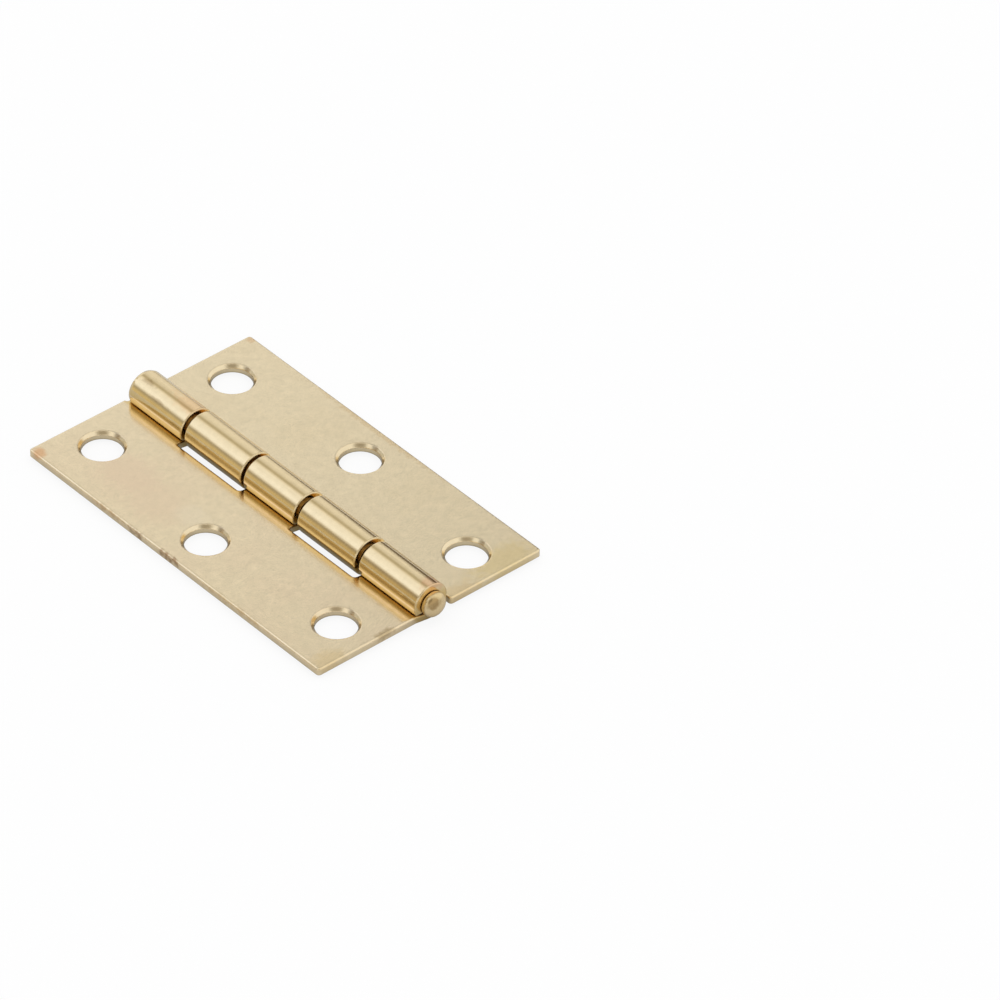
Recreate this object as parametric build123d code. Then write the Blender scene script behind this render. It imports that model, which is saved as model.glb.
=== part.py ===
from build123d import *
import math
import os

# A narrow butt hinge of the 3 inch size, lying open with its barrel up. X runs across the leaves,
# Y along the pin towards its tail, and Z up. The origin is the bottom centre of the whole hinge.

# Driving sizes, in millimetres and degrees

# Leaves
leaf_length = 76.2
leaf_reach = 24.5
sheet = 1.5
edge_break = 0.22
break_easing = 0.11
back_break = 0.15
corner_land = 0.3

# Curl of the sheet around the pin
pin_radius = 2.05
running_clearance = 0.06
barrel_drop = 0.55
strip_angle = 9.0
bend_radius = 5.0
seam_gap = 0.15

# Row of knuckles, with its gaps from the rear to the front
row_inset = 0.7
rear_round = 0.9
end_knuckle = 14.5
middle_knuckle = 13.05
knuckle_gaps = [1.0, 0.75, 1.15, 1.05]

# Notches in which the other leaf's knuckles turn
notch_clearance = 0.75
notch_front_round = 0.7
notch_rear_round = 0.4

# Screw holes, placed from the pin's axis and from the leaf's ends
hole_radius = 3.7
countersink_width = 0.55
countersink_angle = 82
end_hole_x = 14.35
end_hole_margin = 7.4
middle_hole_x = 17.05

# Pin, whose head stands out in front of the row
head_radius = 2.38
head_neck = 0.85
head_dome = 1.25
tail_inset = 0.3
tail_chamfer = 0.3
quarter_turn = 90

# Sizes that follow from them

tight_bore = pin_radius
running_bore = pin_radius + running_clearance
barrel_radius = running_bore + sheet
axis_height = barrel_radius
back_height = barrel_drop
face_height = back_height + sheet
tip_height = face_height + seam_gap
leaf_front = -leaf_length / 2
leaf_rear = leaf_length / 2
corner_round = edge_break + break_easing + corner_land
row_rear = leaf_rear - row_inset
notch_reach = barrel_radius + notch_clearance
paired_knuckle = (row_rear - leaf_front - 2 * end_knuckle - middle_knuckle - sum(knuckle_gaps)) / 2

# What a cutting tool runs past the sheet that it cuts, and how near a place an edge counts as there
overrun = 8.0
nearby = 0.01

# Moves the hinge so that the head in front and the leaves' rear edges are as far from the origin
centring = Pos(0, (head_neck + head_dome) / 2, 0)


def knuckle_spans():
    """The front and the rear of each knuckle, from the rear knuckle to the front one."""
    lengths = [end_knuckle, paired_knuckle, middle_knuckle, paired_knuckle, end_knuckle]
    spans = []
    rear = row_rear
    for length, gap in zip(lengths, knuckle_gaps + [0]):
        spans.append((rear - length, rear))
        rear -= length + gap
    return spans


def sheet_section(bore):
    """The sheet's cross section: a flat leaf, a strip that dips under the pin and a curl round the bore."""
    outside = bore + sheet
    dip = math.radians(strip_angle)
    # The strip's two faces touch the curl's circles, and each meets its face of the flat leaf at a bend
    back_start = (outside * math.sin(dip), axis_height - outside * math.cos(dip))
    face_start = (bore * math.sin(dip), axis_height - bore * math.cos(dip))
    back_bend = (back_start[0] + (back_height - back_start[1]) / math.tan(dip), back_height)
    face_bend = (face_start[0] + (face_height - face_start[1]) / math.tan(dip), face_height)
    # The curl ends in a level cut, a seam's width above the leaf's face
    tip_below_axis = axis_height - tip_height
    outside_end = math.degrees(math.asin(tip_below_axis / outside))
    inside_end = math.degrees(math.asin(tip_below_axis / bore))
    with BuildSketch(Plane.XZ) as section:
        with BuildLine():
            Line((leaf_reach, back_height), back_bend)
            Line(back_bend, back_start)
            around = CenterArc((0, axis_height), outside, strip_angle - 90, -270 - strip_angle - outside_end)
            within = CenterArc((0, axis_height), bore, strip_angle - 90, -270 - strip_angle - inside_end)
            Line(around @ 1, within @ 1)
            Line(face_start, face_bend)
            Line(face_bend, (leaf_reach, face_height))
            Line((leaf_reach, face_height), (leaf_reach, back_height))
        make_face()
        fillet(section.vertices().sort_by_distance(back_bend)[0], bend_radius)
        fillet(section.vertices().sort_by_distance(face_bend)[0], bend_radius + sheet)
    return section.sketch


def notch(front, rear, reach=notch_reach, front_round=notch_front_round):
    """A tool that clears the sheet between two places along the pin, out to a reach from its axis."""
    width = reach + barrel_radius + overrun
    height = 2 * barrel_radius + overrun
    place = Pos(reach - width / 2, (front + rear) / 2, axis_height)
    tool = place * Box(width, rear - front, height)
    front_corner = tool.edges().filter_by(Axis.Z).group_by(Axis.X)[-1].sort_by(Axis.Y)[0]
    tool = fillet(front_corner, front_round)
    rear_corner = tool.edges().filter_by(Axis.Z).group_by(Axis.Y)[-1].sort_by(Axis.X)[-1]
    return fillet(rear_corner, notch_rear_round)


def rear_rounding():
    """A tool that rounds the rear knuckle's outer rim in two steps, and keeps clear of the leaf."""
    outside = pin_radius + sheet
    rounding_start = row_rear - rear_round
    halfway = rear_round * (1 - math.sqrt(1 / 2))
    with BuildSketch(Plane.XY) as half:
        with BuildLine():
            Polyline(
                (0, rounding_start - overrun),
                (outside, rounding_start - overrun),
                (outside, rounding_start),
                (outside - halfway, row_rear - halfway),
                (outside - rear_round, row_rear),
                (0, row_rear),
                close=True,
            )
        make_face()
    rounded = Pos(0, 0, axis_height) * revolve(half.sketch, Axis.Y)
    middle = rounding_start + overrun / 2
    far_side = Pos(-overrun / 2, middle, axis_height) * Box(overrun, overrun, 2 * overrun)
    above_leaf = Pos(overrun / 2, middle, tip_height + overrun / 2) * Box(overrun, overrun, overrun)
    return far_side + above_leaf - rounded


def screw_holes():
    """Tools for a leaf's three holes, the middle one set outward, each with its shallow countersink."""
    depth = countersink_width / math.tan(math.radians(countersink_angle / 2))
    hole = Cylinder(hole_radius, sheet + overrun)
    sink = Pos(0, 0, -depth / 2) * Cone(hole_radius, hole_radius + countersink_width, depth)
    end_hole_y = leaf_rear - end_hole_margin
    places = [(end_hole_x, end_hole_y), (middle_hole_x, 0), (end_hole_x, -end_hole_y)]
    return [Pos(x, y, face_height) * (hole + sink) for x, y in places]


def rim(leaf, height):
    """The edges around the flat face of the leaf at a height, without its holes and its bend lines."""
    faces = leaf.faces().filter_by(Axis.Z).filter_by(lambda face: abs(face.center().Z - height) < nearby)
    edges = faces.sort_by(SortBy.AREA)[-1].outer_wire().edges()
    bend_lines = edges.filter_by(Axis.Y).filter_by(lambda edge: edge.center().X < notch_reach - nearby)
    return edges - bend_lines


def leaf_sheet(bore, cuts):
    """One leaf towards +X: the section along its whole length, less its notches, holes and sharp edges."""
    leaf = extrude(sheet_section(bore), leaf_length / 2, both=True)
    for cut in cuts:
        leaf -= cut
    upright = leaf.edges().filter_by(Axis.Z).filter_by(lambda edge: abs(edge.center().Y) > leaf_rear - nearby)
    leaf = fillet(upright.filter_by(lambda edge: edge.center().X > barrel_radius), corner_round)
    # Each break runs on from its rim over the strips and the curls; two stand for the face's rounding
    leaf = chamfer(rim(leaf, back_height), back_break)
    leaf = chamfer(rim(leaf, face_height), edge_break)
    leaf = chamfer(rim(leaf, face_height), break_easing)
    straight = leaf.edges().filter_by(Axis.Y)
    at_tips = straight.filter_by(lambda edge: abs(edge.center().Z - tip_height) < nearby)
    leaf = chamfer(at_tips.group_by(Axis.X)[-1], back_break)
    for hole in screw_holes():
        leaf -= hole
    return leaf


def three_knuckle_leaf():
    """The leaf at -X, whose end and middle knuckles hold the pin tight."""
    spans = knuckle_spans()
    inset = notch(row_rear, leaf_rear + overrun, pin_radius + sheet, notch_rear_round)
    rear_notch = notch(spans[2][1], spans[0][0])
    front_notch = notch(spans[4][1], spans[2][0])
    leaf = leaf_sheet(tight_bore, [inset, rear_notch, front_notch]) - rear_rounding()
    return mirror(leaf, about=Plane.YZ)


def two_knuckle_leaf():
    """The leaf at +X, which turns on the pin."""
    spans = knuckle_spans()
    rear_notch = notch(spans[1][1], leaf_rear + overrun)
    middle_notch = notch(spans[3][1], spans[1][0])
    front_notch = notch(leaf_front - overrun, spans[3][0])
    return leaf_sheet(running_bore, [rear_notch, middle_notch, front_notch])


def hinge_pin():
    """The pin, turned about its axis: a chamfered tail, a plain shank and an upset head with a domed end."""
    tail = row_rear - tail_inset
    widest = leaf_front - head_neck
    flare = head_radius - pin_radius
    with BuildSketch(Plane.XY) as half:
        with BuildLine():
            Line((0, tail), (pin_radius - tail_chamfer, tail))
            Line((pin_radius - tail_chamfer, tail), (pin_radius, tail - tail_chamfer))
            Line((pin_radius, tail - tail_chamfer), (pin_radius, leaf_front))
            EllipticalCenterArc((pin_radius, widest), flare, head_neck, 0, arc_size=quarter_turn)
            EllipticalCenterArc((0, widest), head_radius, head_dome, 270, arc_size=quarter_turn)
            Line((0, widest - head_dome), (0, tail))
        make_face()
    return Pos(0, 0, axis_height) * revolve(half.sketch, Axis.Y)


pieces = {
    "three_knuckle_leaf": three_knuckle_leaf(),
    "two_knuckle_leaf": two_knuckle_leaf(),
    "hinge_pin": hinge_pin(),
}

os.makedirs("parts", exist_ok=True)
for name, piece in pieces.items():
    export_step(centring * piece, f"parts/{name}.step")
    print(name, round(piece.volume, 2), "cubic mm")
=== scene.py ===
import math

import bpy
from mathutils import Matrix, Vector

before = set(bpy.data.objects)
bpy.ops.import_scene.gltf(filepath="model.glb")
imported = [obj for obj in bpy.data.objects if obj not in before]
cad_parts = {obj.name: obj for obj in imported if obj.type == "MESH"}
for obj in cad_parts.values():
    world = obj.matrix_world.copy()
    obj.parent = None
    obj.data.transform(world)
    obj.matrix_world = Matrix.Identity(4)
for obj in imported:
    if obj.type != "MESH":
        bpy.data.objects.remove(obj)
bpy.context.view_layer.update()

print("frame loaded:", sorted(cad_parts))


# camera, at the photograph's viewing angle

view = {
    "azimuth": -39.958,       # degrees, 0 looks along +Y
    "elevation": 39.042,
    "distance": 1.5395,       # metres from the point looked at
    "lookedAt": (-0.0034, 0.0042, 0.0),
    "turnedRight": 1.535,     # degrees, puts the hinge left of the middle of the picture
    "tiltedUp": 0.046,
    "lens": 327.8,
    "clip": (0.05, 20.0),
}


def makeCamera(view):
    azimuth, elevation = math.radians(view["azimuth"]), math.radians(view["elevation"])
    right = Vector((math.cos(azimuth), math.sin(azimuth), 0.0))
    ahead = Vector((-math.sin(azimuth), math.cos(azimuth), 0.0))
    back = Vector((0.0, 0.0, math.sin(elevation))) - ahead * math.cos(elevation)
    up = back.cross(right)
    facing = Matrix((right, up, back)).transposed().to_4x4()
    place = Matrix.Translation(Vector(view["lookedAt"]) + back * view["distance"])
    turn = Matrix.Rotation(-math.radians(view["turnedRight"]), 4, "Y")
    tilt = Matrix.Rotation(math.radians(view["tiltedUp"]), 4, "X")
    camera = bpy.data.objects.new("camera", bpy.data.cameras.new("camera"))
    camera.data.lens = view["lens"]
    camera.data.clip_start, camera.data.clip_end = view["clip"]
    camera.matrix_world = place @ facing @ turn @ tilt
    bpy.context.scene.collection.objects.link(camera)
    bpy.context.scene.camera = camera


makeCamera(view)
print("camera placed")


# small helpers for node trees

def addNode(tree, kind, values=None, **settings):
    # values fills sockets by name or number: another node's socket is linked, anything else is set
    node = tree.nodes.new(kind)
    for name, value in settings.items():
        setattr(node, name, value)
    for socket, value in (values or {}).items():
        if isinstance(value, bpy.types.NodeSocket):
            tree.links.new(value, node.inputs[socket])
        else:
            node.inputs[socket].default_value = value
    return node


def calc(tree, operation, first, second=0.0, third=0.0):
    return addNode(tree, "ShaderNodeMath", {0: first, 1: second, 2: third}, operation=operation).outputs[0]


def calcVector(tree, operation, first, second):
    return addNode(tree, "ShaderNodeVectorMath", {0: first, 1: second}, operation=operation).outputs


def opaque(colour):
    return (*colour, 1.0)


def mixColour(tree, amount, below, above, blend="MIX"):
    # the colour sockets of a Mix node are its inputs 6 and 7 and its output 2
    node = addNode(tree, "ShaderNodeMix", {0: amount, 6: below, 7: above}, data_type="RGBA", blend_type=blend)
    return node.outputs[2]


def smoothStep(tree, value, low, high, start=0.0, end=1.0):
    values = {"Value": value, "From Min": low, "From Max": high, "To Min": start, "To Max": end}
    return addNode(tree, "ShaderNodeMapRange", values, interpolation_type="SMOOTHSTEP").outputs["Result"]


def addNoise(tree, place, scale, detail, roughness=0.5, seed=None):
    values = {"Vector": place, "Scale": scale, "Detail": detail, "Roughness": roughness}
    if seed is None:
        return addNode(tree, "ShaderNodeTexNoise", values).outputs["Fac"]
    return addNode(tree, "ShaderNodeTexNoise", {**values, "W": seed}, noise_dimensions="4D").outputs["Fac"]


def makeGroup(name, inputs, outputs):
    tree = bpy.data.node_groups.new(name, "ShaderNodeTree")
    for label, kind in inputs:
        tree.interface.new_socket(label, in_out="INPUT", socket_type="NodeSocket" + kind)
    for label, kind in outputs:
        tree.interface.new_socket(label, in_out="OUTPUT", socket_type="NodeSocket" + kind)
    return tree, addNode(tree, "NodeGroupInput").outputs, addNode(tree, "NodeGroupOutput").inputs


def useGroup(tree, group, values):
    return addNode(tree, "ShaderNodeGroup", values, node_tree=group).outputs


# studio: soft strips of light along the barrel, a pale front with an opening, and a white floor

studio = {
    # angle over the hinge in degrees, from straight up towards the three-knuckle leaf,
    # brightness there, and how golden
    "strips": [
        (-100, 0.80, 0.1), (-84, 0.84, 0.1), (-66, 0.90, -0.05), (-52, 0.92, -0.05), (-38, 0.85, -0.05),
        (-28, 0.76, 0.0), (-20, 0.56, 0.2), (-12, 0.56, 0.2), (-4, 0.86, 0.0), (4, 0.99, -0.2),
        (20, 1.02, -0.25), (36, 1.08, -0.3), (46, 1.05, -0.3), (55, 0.80, -0.1), (63, 0.45, 0.2),
        (70, 0.56, 0.4), (80, 0.75, 0.5), (92, 0.76, 0.5), (110, 0.70, 0.4),
    ],
    "below": (0.60, 0.0),             # brightness straight down, and how golden
    "gold": (0.0, 0.22, 0.80),        # how much of each colour a golden strip lacks
    # how far the light comes from the rear, from -1 to 1, and the share of its brightness there
    "depths": [(0.05, 0.92), (0.20, 0.62), (0.36, 0.62), (0.50, 0.96), (0.56, 1.00)],
    "strippedFrom": (0.05, 0.40),     # the strips are only at the rear
    # the dark card: its upper edge's angle at a place along Y, that edge's slope and softness,
    # and where the card's front edge begins and ends
    "card": {
        "angle": -64.0,
        "at": 0.576,
        "slope": 900.0,
        "soft": 5.0,
        "front": (0.40, 0.50),
        "colour": (0.05, 0.035, 0.02),
    },
    # the left side is darker and more golden at the front: angles and places along Y between
    # which that sets in, and what is left of each colour
    "frontShade": {"angles": (46.0, 60.0), "places": (0.572, 0.598), "tone": (0.62, 0.52, 0.40)},
    # the opening: where it is, how many degrees around that are quite dark and where it ends, its colour
    "opening": {
        "towards": (-0.499, -0.595, 0.630),
        "inside": 8.0,
        "outside": 32.0,
        "colour": (0.38, 0.35, 0.30),
    },
    "surround": (1.0, 1.0, 1.0),      # the background that the camera sees
    "floorHalf": 3.0,                 # half the floor's width in metres
    "floorColour": (0.76, 0.76, 0.76),
    "paintedShadowColour": (0.10, 0.09, 0.07),    # painted contact shadow on the floor right under the hinge
    "paintedShadowReach": 0.007,              # how near that is
    "paintedShadowEdges": (0.1, 0.9),         # how open the floor is where that colour ends and the other begins
    "floorGlow": 1.06,                # strength of the white that hides the floor's own shade
    "floorHide": 0.86,                # its share for the camera, and in the metal's reflections
    "floorHideInMetal": 0.16,
}
rampTop = 2.0                         # a ramp's colours end at 1, so its values are divided by this


def addRamp(tree, value, stops, ends):
    # a soft colour ramp over a value from -0.5 to 0.5, with places and colours between its two ends
    ramp = addNode(tree, "ShaderNodeValToRGB", {0: calc(tree, "ADD", value, 0.5)})
    ramp.color_ramp.interpolation = "EASE"
    for stop, colour in zip(ramp.color_ramp.elements, ends):
        stop.color = opaque(colour)
    for place, colour in stops:
        ramp.color_ramp.elements.new(place + 0.5).color = opaque(colour)
    return ramp.outputs["Color"]


def strip(brightness, golden):
    # a strip's colour, as the ramp holds it
    return [brightness * (1 - golden * lack) / rampTop for lack in studio["gold"]]


def makeWorld(studio):
    world = bpy.data.worlds.new("studio")
    world.use_nodes = True
    tree = world.node_tree
    tree.nodes.clear()
    direction = addNode(tree, "ShaderNodeTexCoord").outputs["Generated"]
    apart = addNode(tree, "ShaderNodeSeparateXYZ", {0: direction}).outputs
    angle = calc(tree, "ARCTAN2", calc(tree, "MULTIPLY", apart["X"], -1.0), apart["Z"])
    # the strips run along Y, over the whole turn of angles
    tinted = [(degrees / 360, strip(*look)) for degrees, *look in studio["strips"]]
    turned = calc(tree, "MULTIPLY", angle, 0.5 / math.pi)
    strips = addRamp(tree, turned, tinted, [strip(*studio["below"])] * 2)
    depths = [(place / 2, (share / rampTop,) * 3) for place, share in studio["depths"]]
    share = addRamp(tree, calc(tree, "MULTIPLY", apart["Y"], 0.5), depths, [depths[0][1], depths[-1][1]])
    # a dark card at the right, lower towards the rear
    card = studio["card"]
    lean = math.radians(card["slope"])
    aboveEdge = calc(tree, "ADD", angle, -card["at"] * lean - math.radians(card["angle"]))
    aboveEdge = calc(tree, "MULTIPLY_ADD", apart["Y"], lean, aboveEdge)
    soft = math.radians(card["soft"])
    covered = calc(tree, "MULTIPLY", smoothStep(tree, aboveEdge, -soft, soft, 1.0, 0.0),
                   smoothStep(tree, apart["Y"], *card["front"]))
    strips = mixColour(tree, covered, strips, opaque(card["colour"]))
    # a duskier left side at the front
    dusk = studio["frontShade"]
    leftSide = smoothStep(tree, angle, *[math.radians(each) for each in dusk["angles"]])
    atFront = smoothStep(tree, apart["Y"], *dusk["places"], 1.0, 0.0)
    duskier = mixColour(tree, 1.0, strips, opaque(dusk["tone"]), "MULTIPLY")
    strips = mixColour(tree, calc(tree, "MULTIPLY", leftSide, atFront), strips, duskier)
    plain = opaque([1 / rampTop] * 3)
    around = mixColour(tree, smoothStep(tree, apart["Y"], *studio["strippedFrom"]), plain, strips)
    around = mixColour(tree, 1.0, around, share, "MULTIPLY")
    # both ramps' divided values are multiplied by now, and the strength makes up for them
    strength = rampTop * rampTop
    opening = studio["opening"]
    facing = calcVector(tree, "DOT_PRODUCT", direction, opening["towards"])["Value"]
    edges = [math.cos(math.radians(opening[edge])) for edge in ("outside", "inside")]
    dark = opaque([each / strength for each in opening["colour"]])
    around = mixColour(tree, smoothStep(tree, facing, *edges), around, dark)
    lit = addNode(tree, "ShaderNodeBackground", {"Color": around, "Strength": strength}).outputs[0]
    surround = {"Color": opaque(studio["surround"]), "Strength": 1.0}
    white = addNode(tree, "ShaderNodeBackground", surround).outputs[0]
    seen = addNode(tree, "ShaderNodeLightPath").outputs["Is Camera Ray"]
    shown = addNode(tree, "ShaderNodeMixShader", {0: seen, 1: lit, 2: white}).outputs[0]
    addNode(tree, "ShaderNodeOutputWorld", {"Surface": shown})
    bpy.context.scene.world = world


def makeFloor(studio):
    half = studio["floorHalf"]
    mesh = bpy.data.meshes.new("floor")
    corners = [(-half, -half, 0), (half, -half, 0), (half, half, 0), (-half, half, 0)]
    mesh.from_pydata(corners, [], [(0, 1, 2, 3)])
    floor = bpy.data.objects.new("floor", mesh)
    bpy.context.scene.collection.objects.link(floor)
    material = bpy.data.materials.new("paleFloor")
    material.use_nodes = True
    tree = material.node_tree
    tree.nodes.clear()
    # the floor's colour darkens right under the hinge: a painted contact shadow
    nearby = addNode(tree, "ShaderNodeAmbientOcclusion", {"Distance": studio["paintedShadowReach"]}, samples=8)
    openness = smoothStep(tree, nearby.outputs["AO"], *studio["paintedShadowEdges"])
    own = mixColour(tree, openness, opaque(studio["paintedShadowColour"]), opaque(studio["floorColour"]))
    matt = addNode(tree, "ShaderNodeBsdfDiffuse", {"Color": own}).outputs[0]
    glow = addNode(tree, "ShaderNodeEmission", {"Strength": studio["floorGlow"]}).outputs[0]
    rays = addNode(tree, "ShaderNodeLightPath").outputs
    inMetal = calc(tree, "MAXIMUM", rays["Is Glossy Ray"], rays["Is Transmission Ray"])
    hidden = calc(tree, "MULTIPLY", rays["Is Camera Ray"], studio["floorHide"])
    hidden = calc(tree, "MULTIPLY_ADD", inMetal, studio["floorHideInMetal"], hidden)
    shown = addNode(tree, "ShaderNodeMixShader", {0: hidden, 1: matt, 2: glow}).outputs[0]
    # from below the floor isn't seen, so the hinge's back can be looked at
    below = addNode(tree, "ShaderNodeNewGeometry").outputs["Backfacing"]
    clear = addNode(tree, "ShaderNodeBsdfTransparent").outputs[0]
    surface = addNode(tree, "ShaderNodeMixShader", {0: below, 1: shown, 2: clear}).outputs[0]
    addNode(tree, "ShaderNodeOutputMaterial", {"Surface": surface})
    mesh.materials.append(material)


makeWorld(studio)
makeFloor(studio)
bpy.context.scene.view_settings.view_transform = "Standard"
print("studio lit")


# effects that more than one finish uses

effects = {
    # how fine each noise is, per metre
    "mottlingScale": 750.0,
    "raggedScale": 900.0,
    "wearScale": 900.0,
    "creviceShadeScale": 500.0,
    # where each mask begins and ends, on its noise or its measure
    "cloudEdges": (0.42, 0.68),
    "blotchEdges": (0.35, 1.0),
    "bendEdges": (0.86, 0.995),
    "wearEdges": (0.35, 0.65),
    "speckleEdges": (0.56, 0.74),
    "markEdges": (0.54, 0.72),
    # where the painted crevice shade sets in, on the occlusion measure
    "creviceShadeEdges": (0.10, 0.55),
}


def aboutZero(tree, noise):
    return calc(tree, "SUBTRACT", noise, 0.5)


def makeCloudGroup():
    # soft uneven patches of a second tone, and a finer mottling that is lighter or darker
    tree, given, result = makeGroup(
        "plateClouds",
        [("Position", "Vector"), ("Tone", "Color"), ("Cloud Tone", "Color"), ("Size", "Float"),
         ("Amount", "Float"), ("Mottling", "Float"), ("Seed", "Float")],
        [("Tone", "Color")])
    perMetre = calc(tree, "DIVIDE", 1.0, given["Size"])
    broad = addNoise(tree, given["Position"], perMetre, 3.0, 0.55, given["Seed"])
    share = calc(tree, "MULTIPLY", smoothStep(tree, broad, *effects["cloudEdges"]), given["Amount"])
    clouded = mixColour(tree, share, given["Tone"], given["Cloud Tone"])
    fine = addNoise(tree, given["Position"], effects["mottlingScale"], 4.0, 0.65, given["Seed"])
    lighter = calc(tree, "MULTIPLY_ADD", aboutZero(tree, fine), given["Mottling"], 1.0)
    mottled = addNode(tree, "ShaderNodeVectorMath", {0: clouded, "Scale": lighter}, operation="SCALE")
    tree.links.new(mottled.outputs[0], result["Tone"])
    return tree


def makeBlotchGroup():
    # a mark with a ragged edge about a place on the metal, round or drawn out
    tree, given, result = makeGroup(
        "blotch",
        [("Position", "Vector"), ("Centre", "Vector"), ("Stretch", "Vector"), ("Radius", "Float"),
         ("Raggedness", "Float")],
        [("Mask", "Float")])
    noise = addNoise(tree, given["Position"], effects["raggedScale"], 4.0)
    away = calcVector(tree, "SUBTRACT", given["Position"], given["Centre"])[0]
    scaled = calcVector(tree, "MULTIPLY", away, given["Stretch"])[0]
    reach = addNode(tree, "ShaderNodeVectorMath", {0: scaled}, operation="LENGTH").outputs["Value"]
    wander = calc(tree, "MULTIPLY", aboutZero(tree, noise), given["Raggedness"])
    share = calc(tree, "ADD", calc(tree, "DIVIDE", reach, given["Radius"]), wander)
    tree.links.new(smoothStep(tree, share, *effects["blotchEdges"], 1.0, 0.0), result["Mask"])
    return tree


def makeEdgeGroup():
    # strong where the surface bends sharply, broken up by noise
    tree, given, result = makeGroup(
        "edgeWear",
        [("Position", "Vector"), ("Width", "Float"), ("Break", "Float")],
        [("Mask", "Float"), ("Normal", "Vector")])
    rounded = addNode(tree, "ShaderNodeBevel", {"Radius": given["Width"]}, samples=6).outputs[0]
    own = addNode(tree, "ShaderNodeNewGeometry").outputs["Normal"]
    along = calcVector(tree, "DOT_PRODUCT", rounded, own)["Value"]
    bend = smoothStep(tree, along, *effects["bendEdges"], 1.0, 0.0)
    noise = addNoise(tree, given["Position"], effects["wearScale"], 3.0)
    broken = smoothStep(tree, noise, *effects["wearEdges"], 1.0, 0.0)
    kept = calc(tree, "SUBTRACT", 1.0, calc(tree, "MULTIPLY", broken, given["Break"]))
    tree.links.new(calc(tree, "MULTIPLY", bend, kept), result["Mask"])
    tree.links.new(rounded, result["Normal"])
    return tree


def makeGrainGroup():
    # fine pits and lumps under the plate, for bump and for speckle
    tree, given, result = makeGroup(
        "metalGrain",
        [("Position", "Vector"), ("Grain", "Float"), ("Draw", "Vector")],
        [("Height", "Float"), ("Speckle", "Float")])
    stretched = calcVector(tree, "MULTIPLY", given["Position"], given["Draw"])[0]
    fine = addNoise(tree, stretched, calc(tree, "DIVIDE", 1.0, given["Grain"]), 3.0, 0.6)
    tree.links.new(fine, result["Height"])
    tree.links.new(smoothStep(tree, fine, *effects["speckleEdges"]), result["Speckle"])
    return tree


def makeDrawGroup():
    # faint lines left along the curl by the tool that rolled it
    tree, given, result = makeGroup(
        "drawMarks",
        [("Position", "Vector"), ("Spacing", "Float"), ("Length", "Float")],
        [("Height", "Float"), ("Mark", "Float")])
    apart = addNode(tree, "ShaderNodeSeparateXYZ", {0: given["Position"]}).outputs
    counted = {axis: calc(tree, "DIVIDE", apart[axis], given["Spacing"]) for axis in "XZ"}
    counted["Y"] = calc(tree, "DIVIDE", apart["Y"], given["Length"])
    lines = addNoise(tree, addNode(tree, "ShaderNodeCombineXYZ", counted).outputs[0], 1.0, 3.0, 0.6)
    tree.links.new(lines, result["Height"])
    tree.links.new(smoothStep(tree, lines, *effects["markEdges"]), result["Mark"])
    return tree


def makeCreviceShadeGroup():
    # strong in corners and gaps: painted shade there, from a short-range occlusion measure
    tree, given, result = makeGroup(
        "paintedCreviceShade",
        [("Position", "Vector"), ("Reach", "Float"), ("Unevenness", "Float")],
        [("Mask", "Float")])
    nearby = addNode(tree, "ShaderNodeAmbientOcclusion", {"Distance": given["Reach"]}, samples=8)
    noise = addNoise(tree, given["Position"], effects["creviceShadeScale"], 3.0)
    wander = calc(tree, "MULTIPLY", aboutZero(tree, noise), given["Unevenness"])
    openness = calc(tree, "ADD", nearby.outputs["AO"], wander)
    tree.links.new(smoothStep(tree, openness, *effects["creviceShadeEdges"], 1.0, 0.0), result["Mask"])
    return tree


plateClouds, blotch, edgeWear = makeCloudGroup(), makeBlotchGroup(), makeEdgeGroup()
metalGrain, drawMarks, paintedCreviceShade = makeGrainGroup(), makeDrawGroup(), makeCreviceShadeGroup()
print("shared effects made")


# brass plate on the leaves and the pin

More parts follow.
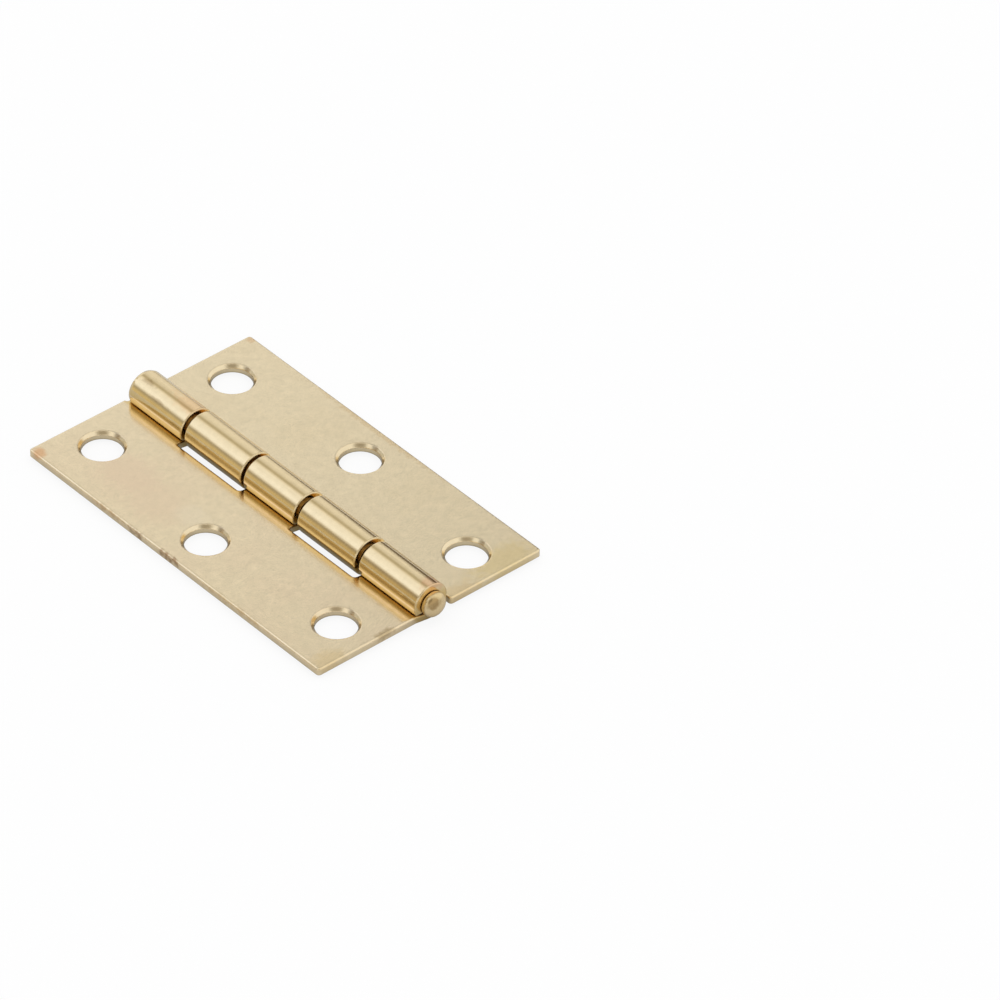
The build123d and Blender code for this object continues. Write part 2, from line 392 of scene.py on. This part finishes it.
threeKnuckleLeaf = {
    "flatTone": (0.920, 0.770, 0.510),
    "barrelTone": (0.860, 0.690, 0.405),
    # low on the curl, painted shade and a painted golden reflection of the leaf deepen the colour: fully so
    # below the first height, not at all above the second
    "undersideShadeTone": (0.760, 0.560, 0.245),
    "undersideShadeHeights": (0.0040, 0.0060),
    # painted shade in corners and gaps: its colour and strength
    "creviceShadeTone": (0.480, 0.340, 0.160),
    "creviceShadeAmount": 0.60,
    "cloudTone": (0.905, 0.730, 0.490),
    "cloudSize": 0.013,
    "cloudAmount": 0.55,
    "mottling": 0.24,
    "seed": 2.0,
    "edgeTone": (0.90, 0.66, 0.40),
    "edgeAmount": 0.55,
    "speckleTone": (0.60, 0.46, 0.24),
    "speckleAmount": 0.16,
    "drawAmount": 0.10,
    "flatRoughness": 0.16,
    "barrelRoughness": 0.10,
    "flatRelief": 0.06,
    "barrelRelief": 0.02,
    # place and radius in metres, stretch, raggedness, colour, strength
    "blotches": [
        ((-0.0158, 0.0235, 0.002), 0.0062, (1.0, 0.75, 1.0), 0.9, (0.890, 0.690, 0.475), 0.55),
        ((-0.0168, 0.0140, 0.002), 0.0066, (1.0, 0.70, 1.0), 0.9, (0.890, 0.695, 0.475), 0.50),
        ((-0.0147, 0.0075, 0.002), 0.0035, (1.0, 0.80, 1.0), 0.9, (0.930, 0.800, 0.560), 0.50),
        ((-0.0248, 0.0180, 0.002), 0.0007, (1.0, 0.10, 0.5), 1.5, (0.600, 0.400, 0.200), 0.70),
        ((-0.0248, 0.0108, 0.002), 0.0008, (1.0, 0.22, 0.5), 1.8, (0.340, 0.200, 0.100), 0.85),
        ((-0.0248, 0.0020, 0.002), 0.0009, (1.0, 0.24, 0.5), 1.8, (0.360, 0.210, 0.100), 0.85),
        ((-0.0248, -0.0140, 0.002), 0.0007, (1.0, 0.06, 0.5), 1.6, (0.680, 0.480, 0.240), 0.60),
        ((-0.0238, 0.0372, 0.002), 0.0017, (1.0, 1.0, 1.0), 1.0, (0.800, 0.430, 0.200), 0.70),
        ((-0.0215, -0.0360, 0.002), 0.0030, (0.7, 1.0, 1.0), 1.0, (0.840, 0.640, 0.330), 0.55),
        ((-0.0101, -0.0370, 0.002), 0.0014, (0.5, 1.0, 1.0), 1.4, (0.460, 0.330, 0.150), 0.60),
        # the rear knuckle's orange top and brown streaks, and the front knuckle's coppery rim
        ((0.0006, 0.0250, 0.0071), 0.0030, (1.0, 0.45, 1.0), 1.2, (0.860, 0.540, 0.270), 0.45),
        ((-0.0012, 0.0350, 0.0070), 0.0010, (1.4, 0.45, 1.0), 1.6, (0.520, 0.380, 0.200), 0.65),
        ((-0.0026, 0.0310, 0.0061), 0.0007, (1.6, 0.22, 1.6), 1.6, (0.520, 0.380, 0.200), 0.55),
        ((0.0010, -0.0362, 0.0070), 0.0021, (0.7, 1.0, 1.0), 1.3, (0.840, 0.520, 0.290), 0.70),
        # painted highlight lines low on the three knuckles, along the curl's rounded edge
        ((-0.0036, 0.0305, 0.0039), 0.0003, (1.0, 0.022, 1.0), 0.7, (1.000, 0.820, 0.600), 0.70),
        ((-0.0036, 0.0008, 0.0037), 0.0003, (1.0, 0.022, 1.0), 0.7, (1.000, 0.800, 0.640), 0.60),
        ((-0.0036, -0.0298, 0.0036), 0.0003, (1.0, 0.022, 1.0), 0.7, (1.000, 0.800, 0.640), 0.60),
    ],
}
twoKnuckleLeaf = dict(
    threeKnuckleLeaf,
    flatTone=(0.915, 0.770, 0.510),
    cloudTone=(0.890, 0.735, 0.470),
    undersideShadeTone=(0.760, 0.570, 0.265),
    cloudAmount=0.45,
    seed=7.0,
    blotches=[
        ((0.0176, -0.0350, 0.002), 0.0045, (0.5, 1.0, 1.0), 1.0, (0.870, 0.690, 0.340), 0.60),
        ((0.0060, -0.0372, 0.002), 0.0032, (0.5, 1.0, 1.0), 1.2, (0.850, 0.640, 0.330), 0.55),
        ((0.0242, 0.0050, 0.002), 0.0012, (1.0, 0.06, 0.5), 1.5, (0.760, 0.560, 0.300), 0.50),
        ((0.0238, 0.0380, 0.002), 0.0012, (1.0, 1.0, 1.0), 1.0, (0.780, 0.500, 0.260), 0.50),
    ],
)
hingePin = dict(
    threeKnuckleLeaf,
    barrelTone=(0.84, 0.65, 0.35),
    undersideShadeTone=(0.84, 0.66, 0.38),
    cloudAmount=0.3,
    seed=4.0,
    edgeTone=(0.70, 0.44, 0.20),
    barrelRoughness=0.24,
    shankShadeTone=(0.30, 0.21, 0.10),             # painted shade on the pin, dark where it shows in the gaps between the knuckles
    shankShadeBehind=(-0.0372, -0.0368),
    # a dark mark on the pin's domed head: painted dark reflection
    blotches=[((-0.0008, -0.0388, 0.0048), 0.0015, (1.0, 1.0, 1.0), 1.6, (0.380, 0.240, 0.090), 0.80)],
)
# height of the pin's axis, and the distances from it between which the barrel's finish becomes the leaf's
barrel = {"axisHeight": 0.00361, "inside": 0.0037, "outside": 0.0046}
# fine structure of the plate, the same on all pieces, in metres
plate = {
    # reach and unevenness of the painted shade in corners and gaps
    "creviceShadeReach": 0.0016,
    "creviceShadeUnevenness": 0.12,
    "edgeWidth": 0.00035,
    "edgeBreak": 0.5,
    "grain": 0.00018,
    "grainDraw": (1.0, 0.6, 1.0),
    "drawSpacing": 0.00045,
    "drawLength": 0.012,
    "drawRelief": 0.6,                # the drawn lines' height beside the grain's
    "reliefDepth": 0.0002,
    "markRoughness": 0.05,            # how much rougher a speckle or a drawn line is
}


def makePlate(name, finish):
    material = bpy.data.materials.new(name)
    material.use_nodes = True
    tree = material.node_tree
    tree.nodes.clear()

    def cover(tone, mask, strength, colour):
        return mixColour(tree, calc(tree, "MULTIPLY", mask, strength), tone, opaque(colour))

    position = addNode(tree, "ShaderNodeTexCoord").outputs["Object"]
    apart = addNode(tree, "ShaderNodeSeparateXYZ", {0: position}).outputs
    # 0 on the barrel and 1 on the flat leaf, by the distance from the pin's axis
    height = calc(tree, "SUBTRACT", apart["Z"], barrel["axisHeight"])
    squares = calc(tree, "MULTIPLY_ADD", height, height, calc(tree, "MULTIPLY", apart["X"], apart["X"]))
    flat = smoothStep(tree, calc(tree, "SQRT", squares), barrel["inside"], barrel["outside"])

    def fromBarrelToFlat(onBarrel, onFlat):
        return calc(tree, "MULTIPLY_ADD", flat, onFlat - onBarrel, onBarrel)

    # the barrel is yellower and brighter polished than the flat sheet, with painted shade and a painted
    # golden reflection of the leaf underneath
    onBarrel = mixColour(tree, smoothStep(tree, apart["Z"], *finish["undersideShadeHeights"]),
                         opaque(finish["undersideShadeTone"]), opaque(finish["barrelTone"]))
    tone = mixColour(tree, flat, onBarrel, opaque(finish["flatTone"]))
    tone = useGroup(tree, plateClouds, {
        "Position": position, "Tone": tone, "Cloud Tone": opaque(finish["cloudTone"]),
        "Size": finish["cloudSize"], "Amount": calc(tree, "MULTIPLY", flat, finish["cloudAmount"]),
        "Mottling": finish["mottling"], "Seed": finish["seed"]})["Tone"]
    for centre, radius, stretch, raggedness, colour, strength in finish["blotches"]:
        mask = useGroup(tree, blotch, {"Position": position, "Centre": centre, "Stretch": stretch,
                                       "Radius": radius, "Raggedness": raggedness})["Mask"]
        tone = cover(tone, mask, strength, colour)
    # painted shade on the pin's shank behind the front knuckle
    if "shankShadeTone" in finish:
        behind = smoothStep(tree, apart["Y"], *finish["shankShadeBehind"])
        tone = mixColour(tree, behind, tone, opaque(finish["shankShadeTone"]))
    # painted shade in corners and gaps, darkened by a short-range occlusion measure
    creviceShadeMask = useGroup(tree, paintedCreviceShade, {"Position": position, "Reach": plate["creviceShadeReach"],
                                        "Unevenness": plate["creviceShadeUnevenness"]})["Mask"]
    tone = cover(tone, creviceShadeMask, finish["creviceShadeAmount"], finish["creviceShadeTone"])
    edge = useGroup(tree, edgeWear, {"Position": position, "Width": plate["edgeWidth"],
                                     "Break": plate["edgeBreak"]})
    tone = cover(tone, edge["Mask"], finish["edgeAmount"], finish["edgeTone"])
    grain = useGroup(tree, metalGrain, {"Position": position, "Grain": plate["grain"],
                                        "Draw": plate["grainDraw"]})
    tone = cover(tone, grain["Speckle"], finish["speckleAmount"], finish["speckleTone"])
    drawn = useGroup(tree, drawMarks, {"Position": position, "Spacing": plate["drawSpacing"],
                                       "Length": plate["drawLength"]})
    marked = calc(tree, "MULTIPLY", drawn["Mark"], calc(tree, "SUBTRACT", 1.0, flat))
    tone = cover(tone, marked, finish["drawAmount"], finish["speckleTone"])

    roughness = fromBarrelToFlat(finish["barrelRoughness"], finish["flatRoughness"])
    for rougher in (grain["Speckle"], marked):
        roughness = calc(tree, "MULTIPLY_ADD", rougher, plate["markRoughness"], roughness)
    bump = addNode(tree, "ShaderNodeBump", {
        "Height": calc(tree, "MULTIPLY_ADD", drawn["Height"], plate["drawRelief"], grain["Height"]),
        "Strength": fromBarrelToFlat(finish["barrelRelief"], finish["flatRelief"]),
        "Distance": plate["reliefDepth"], "Normal": edge["Normal"]})
    shader = addNode(tree, "ShaderNodeBsdfPrincipled", {
        "Base Color": tone, "Metallic": 1.0, "Roughness": roughness, "Normal": bump.outputs[0]})
    addNode(tree, "ShaderNodeOutputMaterial", {"Surface": shader.outputs[0]})
    return material


finishes = {"three_knuckle_leaf": threeKnuckleLeaf, "two_knuckle_leaf": twoKnuckleLeaf, "hinge_pin": hingePin}
for node, finish in finishes.items():
    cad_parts[node].material_slots[0].material = makePlate(node + "_plate", finish)
    print("plated", node)
